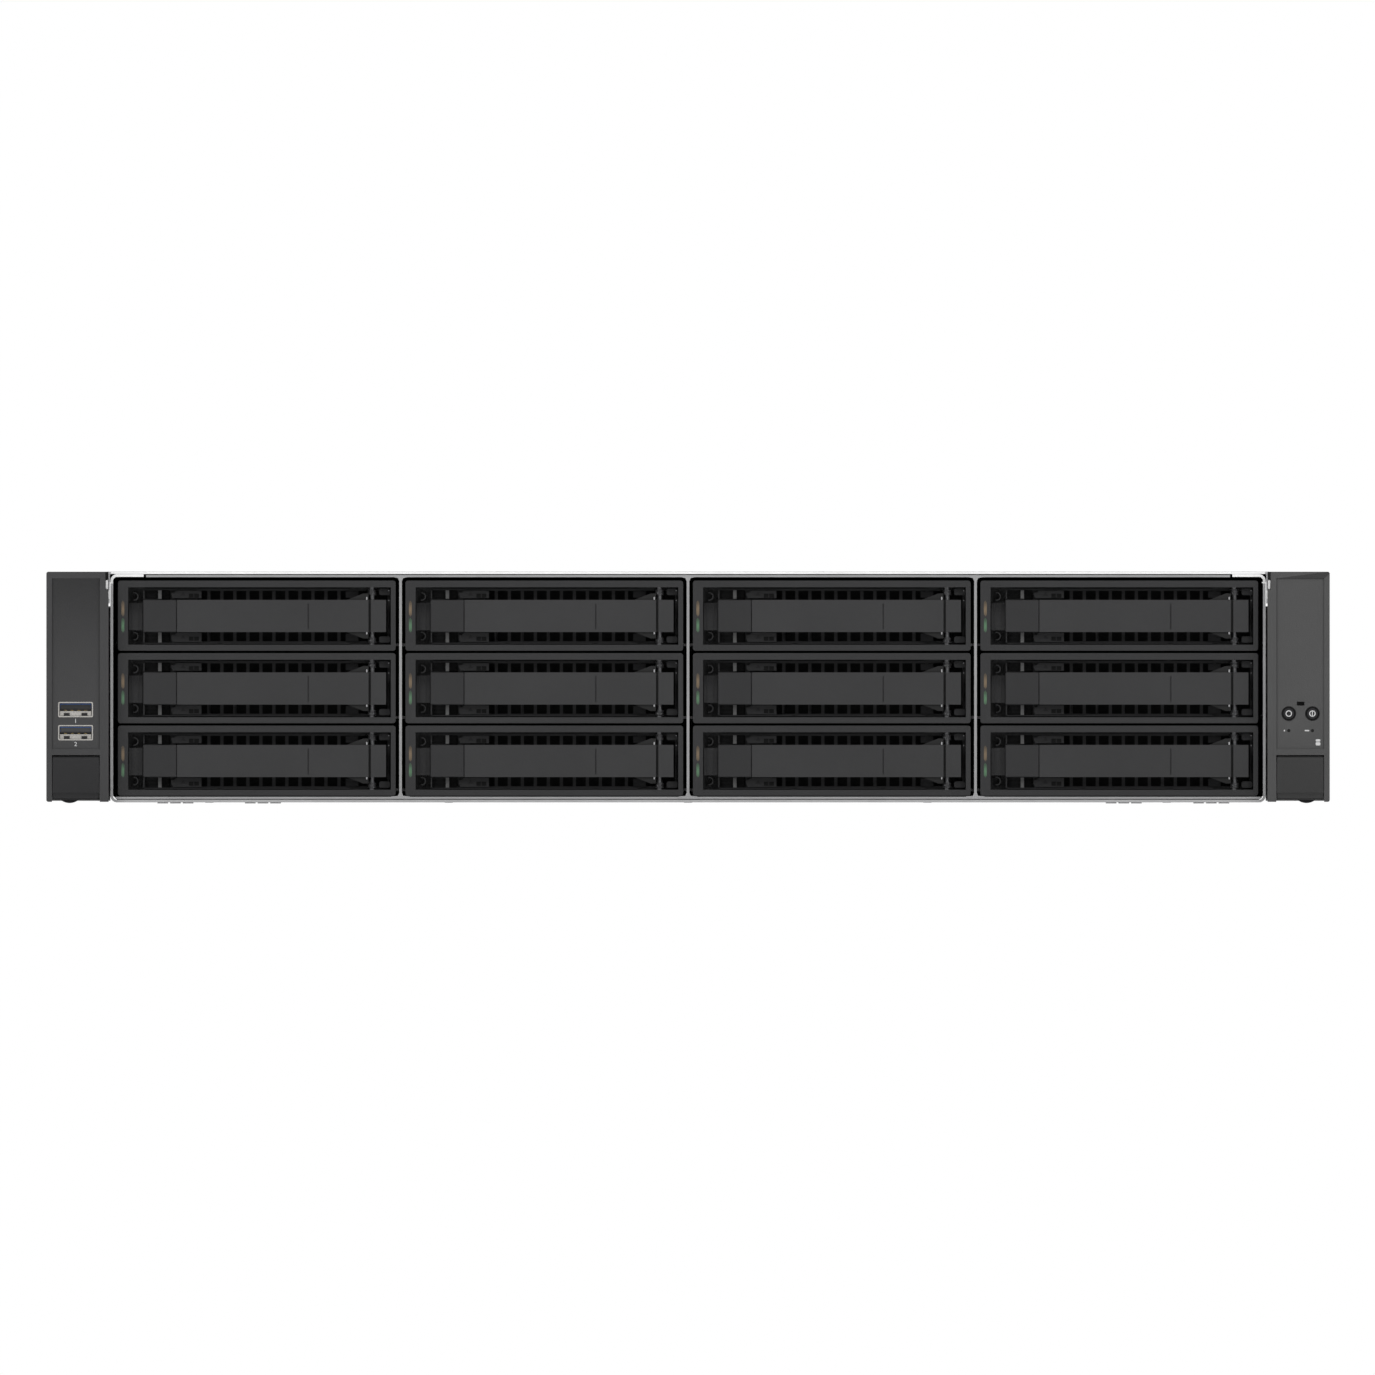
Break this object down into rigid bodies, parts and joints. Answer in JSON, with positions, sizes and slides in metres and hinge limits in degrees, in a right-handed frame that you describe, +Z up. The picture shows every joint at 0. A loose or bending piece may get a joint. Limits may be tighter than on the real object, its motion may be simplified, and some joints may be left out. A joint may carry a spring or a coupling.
{
  "type": "2u rack server",
  "caption": "Rack-mount server two units high, with hot-swap drive bays across the front, two ears, a sliding top cover and plug-in power supplies at the rear.",
  "frame": {"origin": "centre of the bounding box on the plane the server stands on", "axes": "+X to the right seen from the front, +Y from the front to the rear, +Z up"},
  "size_m": [0.4826, 0.77, 0.0872],
  "materials": {
    "zinc_steel": "satin zinc plate",
    "cover_steel": "satin zinc plate",
    "bezel_plastic": "matte black",
    "lever_plastic": "fine matte",
    "button_plastic": "fine matte",
    "ear_plastic": "fine grain",
    "cap_plastic": "semi-gloss",
    "screw_steel": "black zinc",
    "board_green": "solder mask",
    "fan_plastic": "moulded",
    "supply_metal": "zinc plate",
    "catch_plastic": "moulded"
  },
  "bodies": {
    "chassis": {"chassis_base": "zinc_steel", "drive_cage": "zinc_steel", "front_cover": "cover_steel", "drive_backplane": "board_green", "left_ear": "ear_plastic", "right_ear": "ear_plastic", "main_board": "board_green", "fan_frames": "fan_plastic", "rear_io": "zinc_steel"},
    "top_cover": {"top_cover": "cover_steel"},
    "cover_latch": {"cover_latch": "catch_plastic"},
    "left_ear_flap": {"left_ear_flap": "ear_plastic"},
    "right_ear_flap": {"right_ear_flap": "ear_plastic"},
    "power_button": {"power_button": "cap_plastic"},
    "id_button": {"id_button": "cap_plastic"},
    "left_captive_screw": {"left_captive_screw": "screw_steel"},
    "right_captive_screw": {"right_captive_screw": "screw_steel"},
    "power_supply_upper": {"power_supply_upper": "supply_metal"},
    "power_supply_lower": {"power_supply_lower": "supply_metal"},
    "psu_latch_upper": {"psu_latch_upper": "catch_plastic"},
    "psu_latch_lower": {"psu_latch_lower": "catch_plastic"},
    "fan_rotor_1": {"fan_rotor_1": "fan_plastic"},
    "fan_rotor_2": {"fan_rotor_2": "fan_plastic"},
    "fan_rotor_3": {"fan_rotor_3": "fan_plastic"},
    "carrier_c1_r1": {"carrier_c1_r1": "bezel_plastic"},
    "lever_c1_r1": {"lever_c1_r1": "lever_plastic"},
    "release_button_c1_r1": {"release_button_c1_r1": "button_plastic"},
    "carrier_c1_r2": {"carrier_c1_r2": "bezel_plastic"},
    "lever_c1_r2": {"lever_c1_r2": "lever_plastic"},
    "release_button_c1_r2": {"release_button_c1_r2": "button_plastic"},
    "carrier_c1_r3": {"carrier_c1_r3": "bezel_plastic"},
    "lever_c1_r3": {"lever_c1_r3": "lever_plastic"},
    "release_button_c1_r3": {"release_button_c1_r3": "button_plastic"},
    "carrier_c2_r1": {"carrier_c2_r1": "bezel_plastic"},
    "lever_c2_r1": {"lever_c2_r1": "lever_plastic"},
    "release_button_c2_r1": {"release_button_c2_r1": "button_plastic"},
    "carrier_c2_r2": {"carrier_c2_r2": "bezel_plastic"},
    "lever_c2_r2": {"lever_c2_r2": "lever_plastic"},
    "release_button_c2_r2": {"release_button_c2_r2": "button_plastic"},
    "carrier_c2_r3": {"carrier_c2_r3": "bezel_plastic"},
    "lever_c2_r3": {"lever_c2_r3": "lever_plastic"},
    "release_button_c2_r3": {"release_button_c2_r3": "button_plastic"},
    "carrier_c3_r1": {"carrier_c3_r1": "bezel_plastic"},
    "lever_c3_r1": {"lever_c3_r1": "lever_plastic"},
    "release_button_c3_r1": {"release_button_c3_r1": "button_plastic"},
    "carrier_c3_r2": {"carrier_c3_r2": "bezel_plastic"},
    "lever_c3_r2": {"lever_c3_r2": "lever_plastic"},
    "release_button_c3_r2": {"release_button_c3_r2": "button_plastic"},
    "carrier_c3_r3": {"carrier_c3_r3": "bezel_plastic"},
    "lever_c3_r3": {"lever_c3_r3": "lever_plastic"},
    "release_button_c3_r3": {"release_button_c3_r3": "button_plastic"},
    "carrier_c4_r1": {"carrier_c4_r1": "bezel_plastic"},
    "lever_c4_r1": {"lever_c4_r1": "lever_plastic"},
    "release_button_c4_r1": {"release_button_c4_r1": "button_plastic"},
    "carrier_c4_r2": {"carrier_c4_r2": "bezel_plastic"},
    "lever_c4_r2": {"lever_c4_r2": "lever_plastic"},
    "release_button_c4_r2": {"release_button_c4_r2": "button_plastic"},
    "carrier_c4_r3": {"carrier_c4_r3": "bezel_plastic"},
    "lever_c4_r3": {"lever_c4_r3": "lever_plastic"},
    "release_button_c4_r3": {"release_button_c4_r3": "button_plastic"}
  },
  "joints": [
    {"name": "left_ear_flap_hinge", "type": "hinge", "parent": "chassis", "child": "left_ear_flap", "pos_m": [-0.2302, -0.3832, 0.0162], "axis": [-1, 0, 0], "range_deg": [0, 90]},
    {"name": "right_ear_flap_hinge", "type": "hinge", "parent": "chassis", "child": "right_ear_flap", "pos_m": [0.2302, -0.3832, 0.0162], "axis": [-1, 0, 0], "range_deg": [0, 90]},
    {"name": "power_button_press", "type": "slide", "parent": "chassis", "child": "power_button", "axis": [0, 1, 0], "range_m": [0, 0.0008], "stiffness_N_per_m": 400},
    {"name": "id_button_press", "type": "slide", "parent": "chassis", "child": "id_button", "axis": [0, 1, 0], "range_m": [0, 0.0008], "stiffness_N_per_m": 400},
    {"name": "top_cover_slide", "type": "slide", "parent": "chassis", "child": "top_cover", "axis": [0, 1, 0], "range_m": [0, 0.018]},
    {"name": "cover_latch_hinge", "type": "hinge", "parent": "top_cover", "child": "cover_latch", "pos_m": [0, -0.113, 0.0845], "axis": [1, 0, 0], "range_deg": [0, 80]},
    {"name": "power_supply_upper_slide", "type": "slide", "parent": "chassis", "child": "power_supply_upper", "axis": [0, 1, 0], "range_m": [0, 0.15]},
    {"name": "power_supply_lower_slide", "type": "slide", "parent": "chassis", "child": "power_supply_lower", "axis": [0, 1, 0], "range_m": [0, 0.15]},
    {"name": "psu_latch_upper_hinge", "type": "hinge", "parent": "power_supply_upper", "child": "psu_latch_upper", "pos_m": [0.2135, 0.3583, 0.0627], "axis": [0, 0, 1], "range_deg": [0, 12], "stiffness_Nm_per_rad": 0.05},
    {"name": "psu_latch_lower_hinge", "type": "hinge", "parent": "power_supply_lower", "child": "psu_latch_lower", "pos_m": [0.2135, 0.3583, 0.0219], "axis": [0, 0, 1], "range_deg": [0, 12], "stiffness_Nm_per_rad": 0.05},
    {"name": "left_captive_screw_turn", "type": "hinge", "parent": "chassis", "child": "left_captive_screw", "pos_m": [-0.23255, -0.353, 0.00555], "axis": [0, 1, 0], "continuous": true},
    {"name": "right_captive_screw_turn", "type": "hinge", "parent": "chassis", "child": "right_captive_screw", "pos_m": [0.23255, -0.353, 0.00555], "axis": [0, 1, 0], "continuous": true},
    {"name": "fan_1_spin", "type": "hinge", "parent": "chassis", "child": "fan_rotor_1", "pos_m": [-0.135, -0.145, 0.042], "axis": [0, 1, 0], "continuous": true},
    {"name": "fan_2_spin", "type": "hinge", "parent": "chassis", "child": "fan_rotor_2", "pos_m": [0, -0.145, 0.042], "axis": [0, 1, 0], "continuous": true},
    {"name": "fan_3_spin", "type": "hinge", "parent": "chassis", "child": "fan_rotor_3", "pos_m": [0.135, -0.145, 0.042], "axis": [0, 1, 0], "continuous": true},
    {"name": "bay_c1_r1_slide", "type": "slide", "parent": "chassis", "child": "carrier_c1_r1", "axis": [0, -1, 0], "range_m": [0, 0.15]},
    {"name": "lever_c1_r1_hinge", "type": "hinge", "parent": "carrier_c1_r1", "child": "lever_c1_r1", "pos_m": [-0.11885, -0.375, 0.01608], "axis": [0, 0, 1], "range_deg": [0, 50]},
    {"name": "release_c1_r1_press", "type": "slide", "parent": "carrier_c1_r1", "child": "release_button_c1_r1", "axis": [0, 1, 0], "range_m": [0, 0.0025], "stiffness_N_per_m": 300},
    {"name": "bay_c1_r2_slide", "type": "slide", "parent": "chassis", "child": "carrier_c1_r2", "axis": [0, -1, 0], "range_m": [0, 0.15]},
    {"name": "lever_c1_r2_hinge", "type": "hinge", "parent": "carrier_c1_r2", "child": "lever_c1_r2", "pos_m": [-0.11885, -0.375, 0.04335], "axis": [0, 0, 1], "range_deg": [0, 50]},
    {"name": "release_c1_r2_press", "type": "slide", "parent": "carrier_c1_r2", "child": "release_button_c1_r2", "axis": [0, 1, 0], "range_m": [0, 0.0025], "stiffness_N_per_m": 300},
    {"name": "bay_c1_r3_slide", "type": "slide", "parent": "chassis", "child": "carrier_c1_r3", "axis": [0, -1, 0], "range_m": [0, 0.15]},
    {"name": "lever_c1_r3_hinge", "type": "hinge", "parent": "carrier_c1_r3", "child": "lever_c1_r3", "pos_m": [-0.11885, -0.375, 0.07062], "axis": [0, 0, 1], "range_deg": [0, 50]},
    {"name": "release_c1_r3_press", "type": "slide", "parent": "carrier_c1_r3", "child": "release_button_c1_r3", "axis": [0, 1, 0], "range_m": [0, 0.0025], "stiffness_N_per_m": 300},
    {"name": "bay_c2_r1_slide", "type": "slide", "parent": "chassis", "child": "carrier_c2_r1", "axis": [0, -1, 0], "range_m": [0, 0.15]},
    {"name": "lever_c2_r1_hinge", "type": "hinge", "parent": "carrier_c2_r1", "child": "lever_c2_r1", "pos_m": [-0.01075, -0.375, 0.01608], "axis": [0, 0, 1], "range_deg": [0, 50]},
    {"name": "release_c2_r1_press", "type": "slide", "parent": "carrier_c2_r1", "child": "release_button_c2_r1", "axis": [0, 1, 0], "range_m": [0, 0.0025], "stiffness_N_per_m": 300},
    {"name": "bay_c2_r2_slide", "type": "slide", "parent": "chassis", "child": "carrier_c2_r2", "axis": [0, -1, 0], "range_m": [0, 0.15]},
    {"name": "lever_c2_r2_hinge", "type": "hinge", "parent": "carrier_c2_r2", "child": "lever_c2_r2", "pos_m": [-0.01075, -0.375, 0.04335], "axis": [0, 0, 1], "range_deg": [0, 50]},
    {"name": "release_c2_r2_press", "type": "slide", "parent": "carrier_c2_r2", "child": "release_button_c2_r2", "axis": [0, 1, 0], "range_m": [0, 0.0025], "stiffness_N_per_m": 300},
    {"name": "bay_c2_r3_slide", "type": "slide", "parent": "chassis", "child": "carrier_c2_r3", "axis": [0, -1, 0], "range_m": [0, 0.15]},
    {"name": "lever_c2_r3_hinge", "type": "hinge", "parent": "carrier_c2_r3", "child": "lever_c2_r3", "pos_m": [-0.01075, -0.375, 0.07062], "axis": [0, 0, 1], "range_deg": [0, 50]},
    {"name": "release_c2_r3_press", "type": "slide", "parent": "carrier_c2_r3", "child": "release_button_c2_r3", "axis": [0, 1, 0], "range_m": [0, 0.0025], "stiffness_N_per_m": 300},
    {"name": "bay_c3_r1_slide", "type": "slide", "parent": "chassis", "child": "carrier_c3_r1", "axis": [0, -1, 0], "range_m": [0, 0.15]},
    {"name": "lever_c3_r1_hinge", "type": "hinge", "parent": "carrier_c3_r1", "child": "lever_c3_r1", "pos_m": [0.09735, -0.375, 0.01608], "axis": [0, 0, 1], "range_deg": [0, 50]},
    {"name": "release_c3_r1_press", "type": "slide", "parent": "carrier_c3_r1", "child": "release_button_c3_r1", "axis": [0, 1, 0], "range_m": [0, 0.0025], "stiffness_N_per_m": 300},
    {"name": "bay_c3_r2_slide", "type": "slide", "parent": "chassis", "child": "carrier_c3_r2", "axis": [0, -1, 0], "range_m": [0, 0.15]},
    {"name": "lever_c3_r2_hinge", "type": "hinge", "parent": "carrier_c3_r2", "child": "lever_c3_r2", "pos_m": [0.09735, -0.375, 0.04335], "axis": [0, 0, 1], "range_deg": [0, 50]},
    {"name": "release_c3_r2_press", "type": "slide", "parent": "carrier_c3_r2", "child": "release_button_c3_r2", "axis": [0, 1, 0], "range_m": [0, 0.0025], "stiffness_N_per_m": 300},
    {"name": "bay_c3_r3_slide", "type": "slide", "parent": "chassis", "child": "carrier_c3_r3", "axis": [0, -1, 0], "range_m": [0, 0.15]},
    {"name": "lever_c3_r3_hinge", "type": "hinge", "parent": "carrier_c3_r3", "child": "lever_c3_r3", "pos_m": [0.09735, -0.375, 0.07062], "axis": [0, 0, 1], "range_deg": [0, 50]},
    {"name": "release_c3_r3_press", "type": "slide", "parent": "carrier_c3_r3", "child": "release_button_c3_r3", "axis": [0, 1, 0], "range_m": [0, 0.0025], "stiffness_N_per_m": 300},
    {"name": "bay_c4_r1_slide", "type": "slide", "parent": "chassis", "child": "carrier_c4_r1", "axis": [0, -1, 0], "range_m": [0, 0.15]},
    {"name": "lever_c4_r1_hinge", "type": "hinge", "parent": "carrier_c4_r1", "child": "lever_c4_r1", "pos_m": [0.20545, -0.375, 0.01608], "axis": [0, 0, 1], "range_deg": [0, 50]},
    {"name": "release_c4_r1_press", "type": "slide", "parent": "carrier_c4_r1", "child": "release_button_c4_r1", "axis": [0, 1, 0], "range_m": [0, 0.0025], "stiffness_N_per_m": 300},
    {"name": "bay_c4_r2_slide", "type": "slide", "parent": "chassis", "child": "carrier_c4_r2", "axis": [0, -1, 0], "range_m": [0, 0.15]},
    {"name": "lever_c4_r2_hinge", "type": "hinge", "parent": "carrier_c4_r2", "child": "lever_c4_r2", "pos_m": [0.20545, -0.375, 0.04335], "axis": [0, 0, 1], "range_deg": [0, 50]},
    {"name": "release_c4_r2_press", "type": "slide", "parent": "carrier_c4_r2", "child": "release_button_c4_r2", "axis": [0, 1, 0], "range_m": [0, 0.0025], "stiffness_N_per_m": 300},
    {"name": "bay_c4_r3_slide", "type": "slide", "parent": "chassis", "child": "carrier_c4_r3", "axis": [0, -1, 0], "range_m": [0, 0.15]},
    {"name": "lever_c4_r3_hinge", "type": "hinge", "parent": "carrier_c4_r3", "child": "lever_c4_r3", "pos_m": [0.20545, -0.375, 0.07062], "axis": [0, 0, 1], "range_deg": [0, 50]},
    {"name": "release_c4_r3_press", "type": "slide", "parent": "carrier_c4_r3", "child": "release_button_c4_r3", "axis": [0, 1, 0], "range_m": [0, 0.0025], "stiffness_N_per_m": 300}
  ],
  "couplings": [
    {"joint": "cover_latch_hinge", "follows": "top_cover_slide", "rad_per_m": 77.5}
  ]
}
